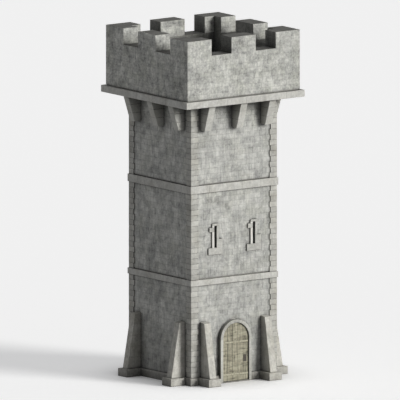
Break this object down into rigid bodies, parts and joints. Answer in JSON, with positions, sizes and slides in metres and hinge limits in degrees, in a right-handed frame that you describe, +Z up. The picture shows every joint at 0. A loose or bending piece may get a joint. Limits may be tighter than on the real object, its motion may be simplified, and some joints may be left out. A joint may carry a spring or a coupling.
{
  "type": "stone watchtower",
  "caption": "Square stone watchtower with raking buttresses, quoins, string courses, corbelled battlements, arrow slits and an arched plank door that swings inwards.",
  "frame": {"origin": "centre of the base, at ground level", "axes": "+Z up, the door in the -Y side, +X to the right of someone facing the door"},
  "size_m": [6.08, 6.08, 14.664],
  "materials": {
    "wall_stone": "weathered grey coursed stone",
    "quoin_stone": "pale warm dressed quoins",
    "base_stone": "worn dressed stone",
    "band_stone": "dressed stone bands and brackets",
    "dressed_stone": "smooth pale dressed stone",
    "parapet_stone": "weathered grey stone, darker on its tops",
    "floor_stone": "worn flagstones",
    "floor_oak": "rough sawn oak",
    "door_oak": "silvered oak planks",
    "rail_oak": "silvered oak rails",
    "wrought_iron": "dark forged iron"
  },
  "bodies": {
    "tower": {"front_wall_door_left": "wall_stone", "front_wall_door_right": "wall_stone", "front_wall_over_door": "wall_stone", "front_wall_upper": "wall_stone", "back_wall": "wall_stone", "left_wall": "wall_stone", "right_wall": "wall_stone", "quoins_front_left": "quoin_stone", "quoins_front_right": "quoin_stone", "quoins_back_left": "quoin_stone", "quoins_back_right": "quoin_stone", "plinth_front": "base_stone", "plinth_back": "base_stone", "plinth_left": "base_stone", "plinth_right": "base_stone", "threshold": "base_stone", "buttresses_front": "base_stone", "buttresses_back": "base_stone", "buttresses_left": "base_stone", "buttresses_right": "base_stone", "string_courses": "band_stone", "cornice": "band_stone", "corbels_front": "band_stone", "corbels_back": "band_stone", "corbels_left": "band_stone", "corbels_right": "band_stone", "window_lintels": "dressed_stone", "window_jambs": "dressed_stone", "window_sills": "dressed_stone", "door_jambs": "dressed_stone", "door_arch": "dressed_stone", "parapet_front": "parapet_stone", "parapet_back": "parapet_stone", "parapet_left": "parapet_stone", "parapet_right": "parapet_stone", "ground_floor": "floor_stone", "roof_deck": "floor_stone", "first_floor_joists": "floor_oak", "first_floor_boards": "floor_oak", "hinge_pintles": "wrought_iron"},
    "door": {"door_planks": "door_oak", "door_rails": "rail_oak", "door_straps": "wrought_iron", "lock_plate": "wrought_iron", "pull_ring": "wrought_iron"}
  },
  "joints": [
    {"name": "door_hinge", "type": "hinge", "parent": "tower", "child": "door", "pos_m": [-0.7031, -2.216, 0.33], "axis": [0, 0, 1], "range_deg": [0, 90]}
  ]
}
